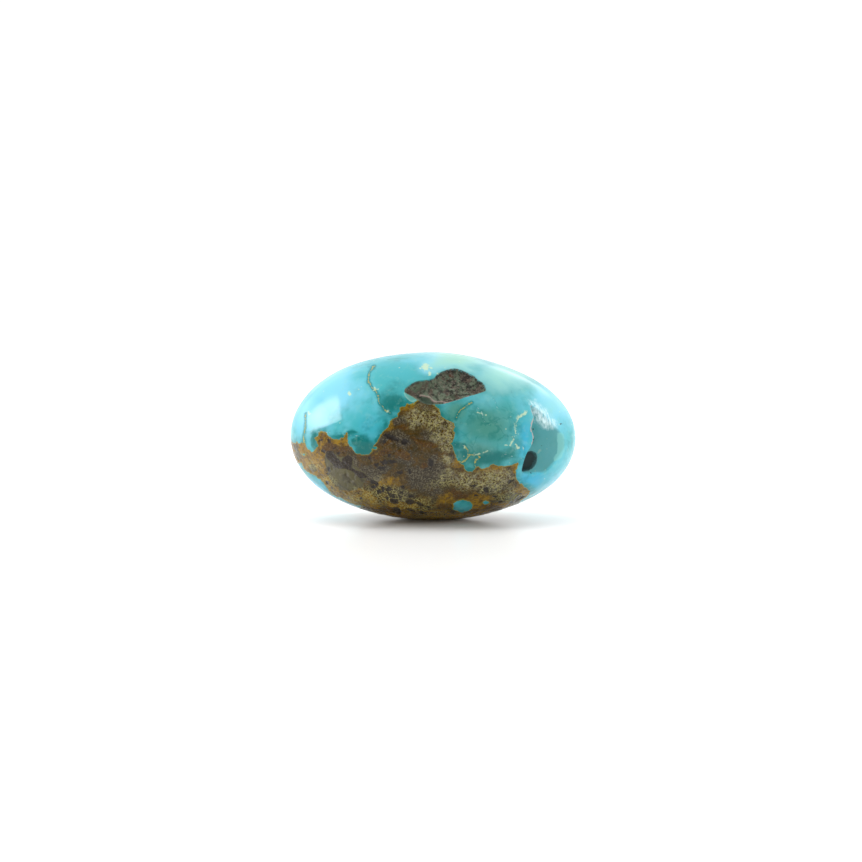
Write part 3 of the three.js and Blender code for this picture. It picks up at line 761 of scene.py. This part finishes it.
def inside(tree, name, place, low, high, most=1.0, ragged=0.0, grain=0.2, within=1.0):
    """A mask that rises from 0 to most as a field of the mesh goes from low to high, its edge ragged."""
    depth = add(tree, "Attribute", "Fac", {"attribute_name": name})
    if ragged:
        rough = add(tree, "TexNoise", "Fac", Vector=place, Scale=1 / grain, Detail=FINE_DETAIL,
                    Roughness=FINE_ROUGHNESS)
        rough = add(tree, "Math", "Value", {"operation": "SUBTRACT"}, Value=rough, Value_001=0.5)
        depth = add(tree, "Math", "Value", {"operation": "MULTIPLY_ADD"},
                    Value=rough, Value_001=2 * ragged, Value_002=depth)
    mask = add(tree, "MapRange", "Result", SMOOTH, Value=depth, From_Min=low, From_Max=high, To_Max=most)
    return add(tree, "Math", "Value", TIMES, Value=mask, Value_001=within)


def clouds(tree, place, size, low, high, most=1.0, detail=3.0, bend=0.0, within=1.0):
    """A mask of soft clouds about size mm across, up to most at their hearts."""
    cloud = add(tree, "TexNoise", "Fac", Vector=place, Scale=1 / size, Detail=detail,
                Roughness=CLOUD_ROUGHNESS, Distortion=bend)
    mask = add(tree, "MapRange", "Result", SMOOTH, Value=cloud, From_Min=low, From_Max=high, To_Max=most)
    return add(tree, "Math", "Value", TIMES, Value=mask, Value_001=within)


def network(tree, place, size, bend_size, bend, thin, full, most=1.0):
    """A mask of fine bent lines round cells about size mm across."""
    bent = add(tree, "TexNoise", "Color", Vector=place, Scale=1 / bend_size, Detail=3.0)
    bent = add(tree, "VectorMath", "Vector", {"operation": "MULTIPLY_ADD"},
               Vector=bent, Vector_001=(bend,) * 3, Vector_002=place)
    cells = add(tree, "TexVoronoi", "Distance", {"feature": "DISTANCE_TO_EDGE"},
                Vector=bent, Scale=1 / size)
    return add(tree, "MapRange", "Result", SMOOTH, Value=cells, From_Min=thin, From_Max=full, To_Max=most)


def coats(tree, under, layers):
    """Lays colours, or plain numbers, over one another, each through its mask."""
    kind, data = ("Float", "FLOAT") if isinstance(under, float) else ("Color", "RGBA")
    for mask, over in layers:
        mixed = {"A_" + kind: under, "B_" + kind: over}
        under = add(tree, "Mix", "Result_" + kind, {"data_type": data}, Factor_Float=mask, **mixed)
    return under


# In the colours below, each row is a mask and the colour that it lays over the rows above it. Clouds are
# given by their size in mm, the noise between which they fade in, most, detail and bend. Inside is given by
# the field, the depths in mm between which it fades in, most, how ragged its edge is and that grain in mm.
def turquoise_colour(tree, place, tint):
    """Milky blue-green in clouds 1 to 3 mm across, deeper beside the matrix and the veins."""
    green = inside(tree, "green", place, 0.0, 1.0, 0.9)
    specks = add(tree, "TexVoronoi", "Distance", {"feature": "F1"}, Vector=place, Scale=1 / SPECK_SPACING)
    specks = add(tree, "MapRange", "Result", SMOOTH,
                 Value=specks, From_Min=SPECK_EDGE[0], From_Max=SPECK_EDGE[1], To_Max=0.5)
    beside = clouds(tree, place, 1.1, 0.3, 0.6)
    cracks = network(tree, place, *CRACK_NETWORK, most=0.5)
    cracks = add(tree, "Math", "Value", TIMES, Value=cracks,
                 Value_001=clouds(tree, place, 2.2, 0.42, 0.55, within=green))
    return coats(tree, tint.turquoise, [
        (clouds(tree, place, 2.4, 0.4, 0.7, 0.3, 2.0), tint.sky),
        (inside(tree, "blue", place, 0.0, 1.0, 0.85), tint.blue),
        (green, tint.green),
        (cracks, tint.deep),
        (clouds(tree, place, 1.5, 0.5, 0.3, 0.35, 3.0), tint.deep),
        (inside(tree, "pale", place, 0.0, 0.8, 0.95), tint.sky),
        (inside(tree, "pale", place, 0.0, 0.8, within=green), tint.mint),
        (inside(tree, "pane", place, -0.1, 0.9, 0.85, 0.2, 0.8), tint.turquoise),
        (inside(tree, "rock", place, -0.9, 0.1, 0.7, 0.3, 0.7, within=beside), tint.deep),
        (inside(tree, "vein", place, -0.28, -0.02, 0.7, 0.1, 0.4), tint.deep),
        (inside(tree, "window", place, -0.05, 0.12, 0.75, 0.2, 0.5), tint.deep),
        (inside(tree, "deep", place, 0.1, 0.8, 0.95, 0.25, 0.7), tint.deep),
        (clouds(tree, place, 0.8, 0.52, 0.75, 0.2, 3.0), tint.mint),
        (inside(tree, "hairline", place, -0.16, 0.0, 0.4, within=beside), tint.deep),
        (inside(tree, "hairline", place, -0.02, 0.02, 0.55), tint.scuff),
        (specks, tint.cream),
        (inside(tree, "scallop", place, -0.02, 0.05, 0.4), tint.mint),
        (inside(tree, "scallop", place, 0.12, 0.0, 0.45, within=inside(tree, "scallop", place, -0.04, 0.0)),
         tint.mint),
        (inside(tree, "cream", place, -0.06, 0.08, 0.8, 0.35, 0.3), tint.cream),
    ])


def ledge_colour(tree, place, tint, under):
    """The worn step: dull teal, darkened as a painted reflection of the dark surroundings its face mirrors,
    with a paler band at its outer side painted as the reflection of the bright surroundings to the right,
    scuffs, and a cream line on its rim.
    """
    streaks = add(tree, "Mapping", "Vector", Vector=place, Rotation=(0, math.radians(SCUFF_TILT), 0),
                  Scale=(1.0, 1.0, SCUFF_STRETCH))
    scuffs = clouds(tree, streaks, 0.24, 0.3, 0.6, 1.0, 5.0)
    return coats(tree, under, [
        # The step's darker teal is a painted reflection, standing for the dark surroundings that the step's
        # face mirrors.
        (inside(tree, "ledge", place, -0.05, 0.25, 0.85, 0.1, 0.4), tint.ledge),
        # Its paler outer band is a painted reflection of the bright surroundings to the right.
        (inside(tree, "ledge_band", place, -0.06, 0.10, 0.5, 0.2, 0.5), tint.ledge_band),
        (inside(tree, "scuff", place, -0.4, 0.45, 0.9, 0.5, 0.5, within=scuffs), tint.scuff),
        (inside(tree, "ledge_rim", place, -0.04, 0.04, 0.8, 0.12, 0.4), tint.rim_line),
    ])


def rock_colour(tree, place, tint):
    """Limonite and wall rock: olive brown, grey masses, ochre and rust stains, clasts, a cream web. Wide
    ochre and web patches along the underside are partly painted light, making it lighter.
    """
    lines = network(tree, place, *GRAIN_NETWORK)
    web = add(tree, "Math", "Value", TIMES, Value=lines,
              Value_001=inside(tree, "web", place, 0.1, 0.7, 0.65, 0.3, 0.6))
    grey = inside(tree, "grey", place, 0.2, 0.5, 0.9, 0.5, 0.5)
    ochre = inside(tree, "ochre", place, 0.15, 0.4, 1.0, 0.35, 0.5)
    rust = inside(tree, "rust", place, 0.2, 0.45, 0.95, 0.5, 0.4)
    clast = inside(tree, "clast", place, -0.05, 0.05, 0.95, 0.15, 0.4)
    speckle = inside(tree, "speckle", place, 0.15, 0.6, 1.0, 0.3, 0.6)
    pale_web = add(tree, "Math", "Value", TIMES, Value=lines,
                   Value_001=clouds(tree, place, 0.8, 0.36, 0.5, 0.65, within=speckle))
    return coats(tree, tint.rock, [
        (clouds(tree, place, 1.1, 0.42, 0.58, 1.0, 6.0, 0.8), tint.earth),
        (clouds(tree, place, 0.5, 0.5, 0.66, 0.5, 5.0, 0.6), tint.amber),
        (grey, tint.grey),
        (clouds(tree, place, 0.16, 0.48, 0.6, 0.85, 3.0, within=grey), tint.ash),
        (clouds(tree, place, 0.18, 0.46, 0.36, 0.9, 3.0, within=grey), tint.fleck),
        (ochre, tint.ochre),
        (clouds(tree, place, 0.6, 0.45, 0.6, 0.9, 5.0, 0.8, within=ochre), tint.amber),
        (clouds(tree, place, 0.3, 0.56, 0.66, 0.7, 4.0, within=ochre), tint.earth),
        (rust, tint.rust),
        (clouds(tree, place, 0.3, 0.48, 0.6, 0.8, 4.0, 0.8, within=rust), tint.amber),
        (clouds(tree, place, 0.15, 0.53, 0.66, 0.4, 2.0), tint.ash),
        (clouds(tree, place, 0.18, 0.45, 0.34, 0.6, 2.0), tint.fleck),
        (clast, tint.clast),
        (clouds(tree, place, 0.9, 0.48, 0.66, 0.7, 4.0, within=clast), tint.grey),
        (inside(tree, "band", place, -0.05, 0.05, 0.92, 0.15, 0.4), tint.band),
        (clouds(tree, place, 0.16, 0.54, 0.66, 0.3, 2.0, within=clast), tint.ash),
        (web, tint.crust),
        (clouds(tree, place, 0.35, 0.42, 0.6, 0.8, 4.0, 0.8, within=speckle), tint.shell),
        (pale_web, tint.crust),
        (clouds(tree, place, 0.22, 0.44, 0.36, 0.75, 4.0, 0.8, within=speckle), tint.fleck),
        (inside(tree, "fleck", place, -0.05, 0.03, 0.92, 0.25, 0.2), tint.fleck),
        (inside(tree, "rock", place, 0.14, 0.02, 0.9, 0.2, 0.4), tint.gold),
    ])


def break_colour(tree, place, tint):
    """The unpolished break: grey and pinkish-brown grains of 0.1 to 0.3 mm, with dark gaps, a painted
    highlight on its lip and painted shade along its rim.
    """
    here = add(tree, "SeparateXYZ", "X", Vector=place)
    gritty = add(tree, "MapRange", "Result", SMOOTH, Value=here, From_Min=SMOOTH_BREAK,
                 From_Max=ROUGH_BREAK, To_Min=0.15)
    return coats(tree, tint.break_grey, [
        (clouds(tree, place, 1.0, 0.47, 0.58, 0.9, 5.0, 0.4), tint.break_pink),
        (clouds(tree, place, 0.8, 0.48, 0.6, 0.8, 6.0, 0.4), tint.break_gaps_and_shade),
        (clouds(tree, place, 0.3, 0.5, 0.6, 0.9, 5.0, within=gritty), tint.break_gaps_and_shade),
        (clouds(tree, place, 0.7, 0.60, 0.70, 0.8, 4.0), tint.rust_red),
        (clouds(tree, place, 0.25, 0.52, 0.64, 0.6, 5.0), tint.break_pale),
        (inside(tree, "scoop", place, -0.05, 0.1, 0.6, 0.1, 0.3), tint.break_green),
        # Painted highlight: the pale pinkish line where the raised lip catches the light.
        (inside(tree, "lip", place, -0.05, 0.08, 0.75, 0.2, 0.3), tint.break_lip_highlight),
        # Painted shade: the break is darker within 0.12 mm of its rim, in patches, where its walls drop
        # away.
        (inside(tree, "chip", place, 0.12, 0.0, 0.5, within=clouds(tree, place, 0.6, 0.45, 0.6)),
         tint.break_gaps_and_shade),
    ])


def polished_turquoise(tint, finish):
    """Turquoise grown with limonite, tumbled and polished. The blue takes a glassy polish, the softer
    brown a silky one, and the hollows that the polish never reached stay matte."""
    material = bpy.data.materials.new("tumble_polished_turquoise_in_limonite")
    material.use_nodes = True
    tree = material.node_tree
    tree.nodes.clear()
    here = add(tree, "TexCoord", "Object")
    place = add(tree, "Mapping", "Vector", Vector=here, Scale=(1 / MM,) * 3)

    rock = inside(tree, "rock", place, -0.03, 0.03, 1.0, 0.25, 0.4)
    broken = clouds(tree, place, 1.0, 0.36, 0.46)
    chip = inside(tree, "chip", place, -0.02, 0.02, 1.0, 0.06, 0.25)
    ledge = inside(tree, "ledge", place, -0.05, 0.25, 1.0, 0.1, 0.4)
    pit = inside(tree, "pit", place, -0.18, 0.08, 0.95, 0.15, 0.3)
    shade = coats(tree, ledge_colour(tree, place, tint, turquoise_colour(tree, place, tint)), [
        (inside(tree, "vein", place, -0.02, 0.03, 0.85, 0.2, 0.25, within=broken), tint.vein),
        # The pinholes here and the pit below are laid near-black: painted shade inside the holes.
        (inside(tree, "pinhole", place, -0.03, 0.03, 0.9, 0.05, 0.1), tint.pit),
        (rock, rock_colour(tree, place, tint)),
        (chip, break_colour(tree, place, tint)),
        (pit, tint.pit),
    ])
    dull = coats(tree, finish.polish, [
        (rock, finish.silky), (ledge, finish.silky), (pit, finish.raw), (chip, finish.raw),
    ])
    grit = add(tree, "TexNoise", "Fac", Vector=place, Scale=1 / GRIT_SIZE, Detail=4.0,
               Roughness=FINE_ROUGHNESS)
    in_rock = add(tree, "Math", "Value", TIMES, Value=rock, Value_001=ROCK_GRIT)
    matte = add(tree, "Math", "Value", {"operation": "MAXIMUM"}, Value=chip, Value_001=in_rock)
    height = add(tree, "Math", "Value", TIMES, Value=grit, Value_001=matte)
    bump = add(tree, "Bump", "Normal", Strength=finish.grit, Distance=GRIT_DEPTH * MM, Height=height)
    surface = add(tree, "BsdfPrincipled", "BSDF", Base_Color=shade, Roughness=dull, Normal=bump,
                  IOR=finish.ior, Specular_IOR_Level=finish.sheen)
    tree.links.new(surface, tree.nodes.new("ShaderNodeOutputMaterial").inputs["Surface"])
    return material


def place_object(name, data, spot, aim, turn=0):
    """Links a light or the camera at a spot, looking at a point, both in metres."""
    thing = bpy.data.objects.new(name, data)
    thing.location = spot
    looking = (Vector(aim) - Vector(spot)).to_track_quat("-Z", "Y")
    thing.rotation_euler = (looking @ Quaternion((0, 0, 1), math.radians(turn))).to_euler()
    bpy.context.scene.collection.objects.link(thing)
    return thing


def softbox(name, spot, aim, size, turn, glow, edges, mirrored):
    """A rectangular light whose face shines at glow, where 1 shows as white, and fades at its edges."""
    light = bpy.data.lights.new(name, "AREA")
    light.shape = "RECTANGLE"
    light.size, light.size_y = [side * MM for side in size]
    light.energy = glow * math.pi * light.size * light.size_y
    light.use_nodes = True
    tree = light.node_tree
    tree.nodes.clear()
    across = add(tree, "NewGeometry", "Parametric")
    strength = 1.0
    for axis, (low_fade, high_fade) in (("X", edges[:2]), ("Y", edges[2:])):
        along = add(tree, "SeparateXYZ", axis, Vector=across)
        for dark, full in ((0, low_fade), (1, 1 - high_fade)):
            edge = add(tree, "MapRange", "Result", SMOOTH, Value=along, From_Min=dark, From_Max=full)
            strength = add(tree, "Math", "Value", TIMES, Value=edge, Value_001=strength)
    shine = add(tree, "Emission", "Emission", Strength=strength)
    tree.links.new(shine, tree.nodes.new("ShaderNodeOutputLight").inputs["Surface"])
    placed = place_object(name, light, Vector(spot) * MM, Vector(aim) * MM, turn)
    placed.visible_glossy = mirrored


def build_floor(look):
    """A wide sheet of cast white acrylic, so smooth that it mirrors the stone faintly."""
    bm = bmesh.new()
    bmesh.ops.create_grid(bm, x_segments=1, y_segments=1, size=look.floor / 2)
    mesh = bpy.data.meshes.new("floor")
    bm.to_mesh(mesh)
    bm.free()
    floor = bpy.data.objects.new("floor", mesh)
    bpy.context.scene.collection.objects.link(floor)
    material = bpy.data.materials.new("white_acrylic_sheet")
    material.use_nodes = True
    tree = material.node_tree
    tree.nodes.clear()
    white = add(tree, "BsdfDiffuse", "BSDF", Color=look.board)
    sheen = add(tree, "BsdfGlossy", "BSDF", Color=look.board, Roughness=BOARD_ROUGHNESS)
    mixed = add(tree, "MixShader", "Shader", Fac=look.sheen, Shader=white, Shader_001=sheen)
    tree.links.new(mixed, tree.nodes.new("ShaderNodeOutputMaterial").inputs["Surface"])
    mesh.materials.append(material)


def build_surround(look):
    """White all round for the camera, and for the stone a room that is darker on the camera's side."""
    world = bpy.data.worlds.new("studio_surround")
    world.use_nodes = True
    tree = world.node_tree
    tree.nodes.clear()
    facing = add(tree, "TexCoord", "Generated")
    across = add(tree, "SeparateXYZ", "Y", Vector=facing)
    room = add(tree, "MapRange", "Result", SMOOTH, Value=across, From_Min=ROOM_EDGE[0],
               From_Max=ROOM_EDGE[1], To_Min=look.near_glow, To_Max=look.far_glow)
    seen = add(tree, "LightPath", "Is Camera Ray")
    glow = add(tree, "Mix", "Result_Float", {"data_type": "FLOAT"},
               Factor_Float=seen, A_Float=room, B_Float=look.backdrop)
    shine = add(tree, "Background", "Background", Color=look.board, Strength=glow)
    tree.links.new(shine, tree.nodes.new("ShaderNodeOutputWorld").inputs["Surface"])
    bpy.context.scene.world = world


class NuggetColours(bpy.types.PropertyGroup):
    """The stone's colours, as they would be in even white light, except the painted light noted below: the
    break's lip highlight and rim shade, the pit's shade, the step's reflections, and the lighter underside.
    """
    turquoise: colour("Turquoise", "3ca5ab", "The stone's main blue-green")
    sky: colour("Sky", "7dc9df", "Its palest blue")
    blue: colour("Blue", "3cacd0", "Its purest blue")
    green: colour("Green teal", "4d8e7e", "Greener patches, where there is more iron")
    mint: colour("Mint", "88c1ae", "Pale green, chalkier patches")
    deep: colour("Deep teal", "006a67", "The dark edge beside the matrix and the veins")
    cream: colour("Cream", "bed4ae", "Spots of altered stone")
    gold: colour("Gold", "8a7a1b", "Limonite in the veins and along the matrix's rim")
    vein: colour("Vein", "a8a448", "Thin limonite veins in the blue")
    rock: colour("Rock", "3b3012", "The grey-brown of the matrix")
    earth: colour("Earth", "4d3807", "The olive-brown of the matrix")
    ash: colour("Ash", "6b634f", "Paler, pinkish-grey grains in the matrix")
    grey: colour("Grey", "393326", "Violet-grey masses in the matrix")
    amber: colour("Amber", "5c4104", "Orange-brown limonite")
    shell: colour("Shell", "888266", "Pinkish-beige grains in the speckled part")
    ochre: colour("Ochre", "8e6d0d", "Yellow limonite stains")
    rust: colour("Rust", "4c3104", "Orange-brown iron stains")
    clast: colour("Clast", "524d2e", "Smooth grey fragments in the matrix")
    band: colour("Dark band", "20140c", "The dark top of the largest fragment")
    fleck: colour("Fleck", "221d1a", "Small dark fragments")
    crust: colour("Crust", "b5ad6a", "The cream web between the matrix's grains")
    # Darker than the turquoise: a painted reflection of the dark surroundings that the step mirrors.
    ledge: colour("Ledge", "3e8182", "The worn step at the right end")
    # Painted reflection of the bright surroundings to the right, on the step's outer side.
    ledge_band: colour("Ledge reflection band", "74bdb5", "The paler band at the step's outer side")
    scuff: colour("Scuff", "d5eef0", "Whitish scuffs above the step")
    rim_line: colour("Rim line", "b09a90", "The pinkish line on the step's rim")
    # Painted shade: the near-black laid in the pit and the pinholes.
    pit: colour("Pit", "1f2b2a", "The dark pit at the step's foot, and the pinholes")
    break_grey: colour("Break grey", "606d59", "The main colour of the broken patch")
    break_pink: colour("Break pink", "594c43", "Pinkish grains in the broken patch")
    break_green: colour("Break green", "546a5c", "The greenish scoop below the break's lip")
    # Real dark gaps in the broken patch, and also painted shade along its rim.
    break_gaps_and_shade: colour("Break gaps and shade", "25231f", "Gaps in the broken patch")
    break_pale: colour("Break pale", "898272", "Pale grains in the broken patch")
    # Painted highlight: the pale line along the break's raised lip.
    break_lip_highlight: colour("Break lip highlight", "a38e86", "The pinkish lip of the broken patch")
    rust_red: colour("Rust red", "5e2c1c", "Red-brown spots in the broken patch")


class NuggetFinish(bpy.types.PropertyGroup):
    """How smooth each part of the stone is."""
    polish: share("Polish", 0.07, "Roughness of the polished blue", 0.02)
    silky: share("Silky", 0.26, "Roughness of the polished brown and of the step", 0.05)
    raw: share("Raw", 0.72, "Roughness of the broken patch and the pit", 0.05)
    ior: FloatProperty(
        name="IOR", description="Refractive index, 1.61 for turquoise", default=1.61, min=1.3, max=2)
    sheen: share("Sheen", 0.25, "Strength of the mirror-like part, 0.5 for a flawless polish")
    grit: share("Grit", 0.5, "How strongly grains under 0.15 mm show")
    relief: FloatProperty(
        name="Relief", description="How far polishing wore the soft matrix below the blue stone",
        unit="LENGTH", default=0.05 * MM, min=0, max=0.3 * MM)


class StudioLook(bpy.types.PropertyGroup):
    """The camera, the board and the lights."""
    lens: FloatProperty(
        name="Lens", description="The camera's focal length", unit="CAMERA", default=140, min=35)
    distance: FloatProperty(
        name="Distance", description="From the camera to the stone", unit="LENGTH", default=352.9 * MM)
    elevation: FloatProperty(
        name="Elevation", description="How far the camera looks down", subtype="ANGLE",
        default=math.radians(5))
    floor: FloatProperty(name="Floor", description="The board's side", unit="LENGTH", default=0.9)
    sheen: share("Sheen", 0.4, "How much the board mirrors")
    board: colour("Board", "fafafa", "The board's and the surroundings' white")
    near_glow: FloatProperty(
        name="Near glow", description="How bright the room is behind the camera", default=0.12)
    far_glow: FloatProperty(
        name="Far glow", description="How bright the room is behind the stone", default=1.15)
    backdrop: FloatProperty(
        name="Backdrop", description="How bright the backdrop is to the camera", default=1.1)


class NUGGET_OT_stone(bpy.types.Operator):
    """Add the turquoise nugget in place of its plain solid"""
    bl_idname = "nugget.stone"
    bl_label = "Turquoise Nugget"

    def execute(self, context):
        stone = build_stone(context.scene.nugget_finish)
        stone.data.materials.append(
            polished_turquoise(context.scene.nugget_colours, context.scene.nugget_finish))
        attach(stone, BODY)
        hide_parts(NODE)
        return {"FINISHED"}


class NUGGET_OT_stage(bpy.types.Operator):
    """Add the white board, the surroundings, the softboxes and the camera"""
    bl_idname = "nugget.stage"
    bl_label = "Studio"

    def execute(self, context):
        look = context.scene.nugget_studio
        build_floor(look)
        build_surround(look)
        for name, details in SOFTBOXES.items():
            softbox(name, *details)
        aim = Vector(CAMERA_AIM) * MM
        back = Vector((0, -math.cos(look.elevation), math.sin(look.elevation)))
        lens = bpy.data.cameras.new("camera")
        lens.lens = look.lens
        lens.sensor_width = SENSOR_WIDTH
        lens.sensor_fit = "HORIZONTAL"
        lens.clip_start = NEAREST_SEEN * MM
        context.scene.camera = place_object("camera", lens, aim + back * look.distance, aim)
        context.scene.view_settings.view_transform = "Standard"
        return {"FINISHED"}


class NUGGET_PT_panel(bpy.types.Panel):
    """The nugget's colours and finish, and its studio"""
    bl_label = "Turquoise Nugget"
    bl_space_type = "VIEW_3D"
    bl_region_type = "UI"
    bl_category = "Nugget"

    def draw(self, context):
        for operator, groups in PANEL_ROWS:
            self.layout.operator(operator)
            for group in groups:
                settings = getattr(context.scene, group)
                for name in settings.__annotations__:
                    self.layout.prop(settings, name)


PANEL_ROWS = [
    ("nugget.stone", ["nugget_colours", "nugget_finish"]),
    ("nugget.stage", ["nugget_studio"]),
]
GROUPS = {"nugget_colours": NuggetColours, "nugget_finish": NuggetFinish, "nugget_studio": StudioLook}
CLASSES = [*GROUPS.values(), NUGGET_OT_stone, NUGGET_OT_stage, NUGGET_PT_panel]


def register():
    for part in CLASSES:
        bpy.utils.register_class(part)
    for name, group in GROUPS.items():
        setattr(bpy.types.Scene, name, PointerProperty(type=group))


def unregister():
    for name in GROUPS:
        delattr(bpy.types.Scene, name)
    for part in reversed(CLASSES):
        bpy.utils.unregister_class(part)


def main():
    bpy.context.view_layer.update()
    register()
    bpy.ops.nugget.stage()
    bpy.ops.nugget.stone()


if __name__ == "__main__":
    main()
